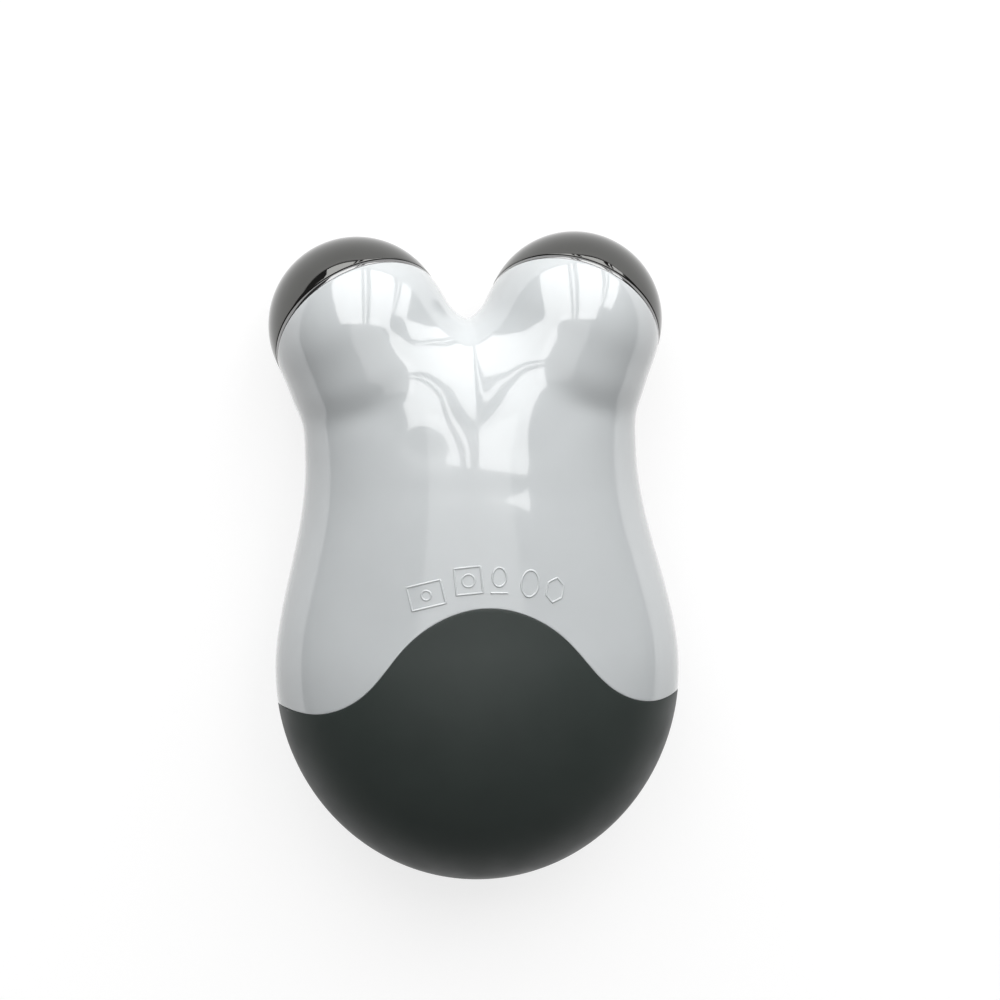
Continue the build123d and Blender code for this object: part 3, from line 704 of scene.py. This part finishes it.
# ---------------------------------------------------------------- materials
class Shader:
    """A Principled material with short calls for the nodes that it needs."""

    def __init__(self, name, **values):
        self.material = bpy.data.materials.new(name)
        self.material.use_nodes = True
        self.tree = self.material.node_tree
        self.main = self.tree.nodes["Principled BSDF"]
        for key, value in values.items():
            self.main.inputs[key.replace("_", " ")].default_value = value
        self.place = self.node("ShaderNodeTexCoord").outputs["Object"]

    def node(self, kind, **settings):
        made = self.tree.nodes.new(kind)
        for key, value in settings.items():
            made.inputs[key].default_value = value
        return made

    def noise(self, scale, detail=4.0, stretch=(1, 1, 1)):
        spread = self.node("ShaderNodeMapping", Scale=stretch)
        made = self.node("ShaderNodeTexNoise", Scale=scale, Detail=detail)
        self.tree.links.new(self.place, spread.inputs["Vector"])
        self.tree.links.new(spread.outputs["Vector"], made.inputs["Vector"])
        return made.outputs["Fac"]

    def ramp(self, fac, low, high, start=0.3, end=0.7):
        """A colour or a number that goes from low to high as the noise goes from start to end."""
        made = self.node("ShaderNodeValToRGB")
        for element, position, value in zip(made.color_ramp.elements, (start, end), (low, high)):
            element.position = position
            element.color = (*value, 1) if isinstance(value, tuple) else (value, value, value, 1)
        self.tree.links.new(fac, made.inputs["Fac"])
        return made.outputs["Color"]

    def feed(self, output, socket):
        self.tree.links.new(output, self.main.inputs[socket])

    def bump(self, height, strength, distance, before=None):
        made = self.node("ShaderNodeBump", Strength=strength, Distance=distance)
        self.tree.links.new(height, made.inputs["Height"])
        if before:
            self.tree.links.new(before, made.inputs["Normal"])
        self.feed(made.outputs["Normal"], "Normal")
        return made.outputs["Normal"]


def shades(colour, spread):
    return tuple(c * (1 - spread) for c in colour), tuple(min(1.0, c * (1 + spread)) for c in colour)


def gloss_white(name):
    """Glossy moulded plastic: a faint waviness, fine specks in the gloss."""
    s = Shader(name, IOR=1.5, Coat_Weight=1.0, Coat_Roughness=0.03)
    s.feed(s.ramp(s.noise(70, 3), *shades(WHITE, 0.02)), "Base Color")
    s.feed(s.ramp(s.noise(400, 5), 0.09, 0.17), "Roughness")
    waves = s.bump(s.noise(38, 2), 0.25, 0.0003)
    s.bump(s.noise(9000, 2), 0.04, 0.00001, waves)
    return s.material


def soft_touch(name):
    """Matt rubbery paint: fine grain, a faint sheen, slightly polished by the hand in patches."""
    s = Shader(name, IOR=1.4, Sheen_Weight=0.03, Sheen_Roughness=0.5)
    s.feed(s.ramp(s.noise(120, 4), *shades(GREY, 0.05)), "Base Color")
    s.feed(s.ramp(s.noise(160, 5), 0.38, 0.50), "Roughness")
    s.bump(s.noise(6000, 3), 0.10, 0.00003)
    return s.material


def metal(name, colour, low, high, grain=500, stretch=(1, 1, 1), depth=0.0):
    s = Shader(name, Metallic=1.0)
    s.feed(s.ramp(s.noise(140, 3), *shades(colour, 0.04)), "Base Color")
    s.feed(s.ramp(s.noise(grain, 5, stretch), low, high), "Roughness")
    if depth:
        s.bump(s.noise(grain * 3, 4, stretch), depth, 0.00003)
    return s.material


def plastic(name, colour, rough=0.4, grain=400, depth=0.08):
    s = Shader(name)
    s.feed(s.ramp(s.noise(grain, 4), *shades(colour, 0.08)), "Base Color")
    s.feed(s.ramp(s.noise(grain * 2, 4), rough * 0.85, rough * 1.15), "Roughness")
    s.bump(s.noise(grain * 4, 3), depth, 0.00003)
    return s.material


def clear_lens(name):
    s = Shader(name, IOR=1.46, Transmission_Weight=0.55, Coat_Weight=0.3)
    s.feed(s.ramp(s.noise(300, 3), (0.74, 0.80, 0.86), (0.82, 0.88, 0.92)), "Base Color")
    s.feed(s.ramp(s.noise(900, 3), 0.16, 0.26), "Roughness")
    return s.material


def foam(name):
    s = Shader(name, Sheen_Weight=0.3)
    s.feed(s.ramp(s.noise(2500, 5), (0.05, 0.05, 0.05), (0.13, 0.13, 0.13)), "Base Color")
    s.feed(s.ramp(s.noise(2500, 5), 0.85, 0.98), "Roughness")
    s.bump(s.noise(2500, 5), 0.6, 0.0002)
    return s.material


FINISHES = {
    "white_shell": lambda: gloss_white("gloss_white"),
    "grip": lambda: soft_touch("soft_touch_grey"),
    "dome_metal": lambda: metal("polished_dome", DOME_METAL, 0.03, 0.07),
    "bezel_metal": lambda: metal("bezel_chrome", BEZEL_METAL, 0.06, 0.12),
    "button_cap": lambda: plastic("satin_cap", (0.62, 0.64, 0.64), 0.32, 500, 0.04),
    "lens": lambda: clear_lens("milky_lens"),
    "socket_black": lambda: plastic("socket_nylon", (0.03, 0.03, 0.033), 0.45),
    "cup_plastic": lambda: plastic("pale_moulding", (0.45, 0.47, 0.47), 0.5),
    "seal": lambda: plastic("silicone", (0.035, 0.035, 0.035), 0.6),
    "brass": lambda: metal("brass", (0.62, 0.43, 0.17), 0.16, 0.28, 700, depth=0.05),
    "steel": lambda: metal("zinc_steel", (0.46, 0.46, 0.48), 0.22, 0.36, 900, (1, 1, 6), 0.1),
    "board": lambda: plastic("solder_mask", (0.012, 0.14, 0.05), 0.25, 900, 0.1),
    "component_black": lambda: plastic("black_epoxy", (0.028, 0.028, 0.03), 0.5, 1200, 0.15),
    "can_metal": lambda: metal("drawn_aluminium", (0.6, 0.6, 0.62), 0.18, 0.3, 800, (1, 1, 0.1), 0.05),
    "connector_white": lambda: plastic("nylon_white", (0.62, 0.6, 0.53), 0.42),
    "battery_foil": lambda: metal("laminated_foil", (0.5, 0.52, 0.56), 0.2, 0.34, 260, depth=0.3),
    "foam": lambda: foam("dark_foam"),
    "wire_red": lambda: plastic("red_insulation", (0.45, 0.02, 0.015), 0.42, 1500),
    "wire_black": lambda: plastic("black_insulation", (0.02, 0.02, 0.02), 0.42, 1500),
    "wire_blue": lambda: plastic("blue_insulation", (0.02, 0.08, 0.33), 0.42, 1500),
}


def paint(piece, material):
    if piece.material_slots:
        for slot in piece.material_slots:
            slot.material = material
    else:
        piece.data.materials.append(material)


# ---------------------------------------------------------------- camera, floor and light
def make_camera():
    """Looks down on the rear face. The shift isn't used: the camera stands to one side instead."""
    data = bpy.data.cameras.new("camera")
    data.sensor_width = SENSOR_MM
    data.lens = SENSOR_MM * CAMERA_DISTANCE / (FRAME_PIXELS * PIXEL_MM)
    data.clip_start, data.clip_end = 0.01, 20
    camera = bpy.data.objects.new("camera", data)
    bpy.context.scene.collection.objects.link(camera)
    bpy.context.scene.camera = camera
    turn = Matrix.Rotation(math.radians(CAMERA_YAW), 4, "Y")
    turn = turn @ Matrix.Rotation(math.radians(CAMERA_PITCH), 4, "X")
    turn = turn @ Matrix.Rotation(math.radians(-CAMERA_ROLL), 4, "Z")
    middle = FRAME_PIXELS / 2
    right, up = (middle - CENTRE_PIXEL[0]) * PIXEL_MM, (CENTRE_PIXEL[1] - middle) * PIXEL_MM
    stand = Matrix.Translation(Vector((right, up, CAMERA_DISTANCE)) * MM)
    camera.matrix_world = Matrix.Translation((0, 0, PARTING * MM)) @ turn @ stand


def make_floor():
    """A pale floor that looks white to the camera and in reflections, and keeps the shadow."""
    mesh = bpy.data.meshes.new("floor")
    reach = 4.0
    ends = [(-reach, -reach, 0), (reach, -reach, 0), (reach, reach, 0), (-reach, reach, 0)]
    mesh.from_pydata(ends, [], [(0, 1, 2, 3)])
    floor = bpy.data.objects.new("floor", mesh)
    bpy.context.scene.collection.objects.link(floor)
    s = Shader("pale_floor", Roughness=0.9)
    s.main.inputs["Specular IOR Level"].default_value = 0.0
    s.main.inputs["Base Color"].default_value = (*FLOOR_COLOUR, 1)
    s.main.inputs["Emission Color"].default_value = (1, 1, 1, 1)
    seen = s.node("ShaderNodeLightPath")
    total = seen.outputs["Is Camera Ray"]
    for kind in ("Is Glossy Ray", "Is Transmission Ray"):
        add = s.tree.nodes.new("ShaderNodeMath")
        add.operation = "MAXIMUM"
        s.tree.links.new(total, add.inputs[0])
        s.tree.links.new(seen.outputs[kind], add.inputs[1])
        total = add.outputs[0]
    glow = s.tree.nodes.new("ShaderNodeMath")
    glow.operation = "MULTIPLY"
    glow.inputs[1].default_value = FLOOR_GLOW
    s.tree.links.new(total, glow.inputs[0])
    s.tree.links.new(glow.outputs[0], s.main.inputs["Emission Strength"])
    paint(floor, s.material)


def make_world():
    world = bpy.data.worlds.new("studio")
    bpy.context.scene.world = world
    world.use_nodes = True
    background = world.node_tree.nodes["Background"]
    background.inputs["Color"].default_value = (*WORLD_COLOUR, 1)
    background.inputs["Strength"].default_value = WORLD_STRENGTH


def make_lamps():
    """Soft rectangular lamps. Each stands in a plane that faces the object, moved sideways in it."""
    for name, azimuth, elevation, distance, sideways, width, height, brightness in LAMPS:
        data = bpy.data.lights.new(name, "AREA")
        data.shape = "RECTANGLE"
        data.size, data.size_y = width, height
        data.energy = brightness * math.pi * width * height
        lamp = bpy.data.objects.new(name, data)
        lamp.visible_camera = False
        bpy.context.scene.collection.objects.link(lamp)
        a, e = math.radians(azimuth), math.radians(elevation)
        away = Vector((math.sin(a) * math.cos(e), math.cos(a) * math.cos(e), math.sin(e)))
        right = Vector((math.cos(a), -math.sin(a), 0))
        turn = Matrix((-right, right.cross(away), away)).transposed()
        lamp.matrix_world = Matrix.Translation(away * distance + right * sideways) @ turn.to_4x4()


# ---------------------------------------------------------------- putting it together
bpy.context.scene.view_settings.view_transform = "Standard"
make_camera()
make_floor()
make_world()
make_lamps()
finishes = {slot: make() for slot, make in FINISHES.items()}
slots = {part["node"]: part["material_slot"] for part in frame["record"]["subparts"]}
for node, piece in frame["nodes"].items():
    paint(piece, finishes[slots[node]])

rear, front, cover = make_casings()
for piece in (rear, front):
    paint(piece, finishes["white_shell"])
paint(cover, finishes["grip"])
paint(make_marks(), finishes["white_shell"])
for side, name in ((1, "right"), (-1, "left")):
    for part, node, slot, make in (
        ("dome", "electrode_dome", "dome_metal", make_dome),
        ("ring", "bezel_ring", "bezel_metal", make_bezel),
    ):
        piece = make(side, f"{name}_{part}")
        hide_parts(f"{name}_{node}")
        paint(piece, finishes[slot])
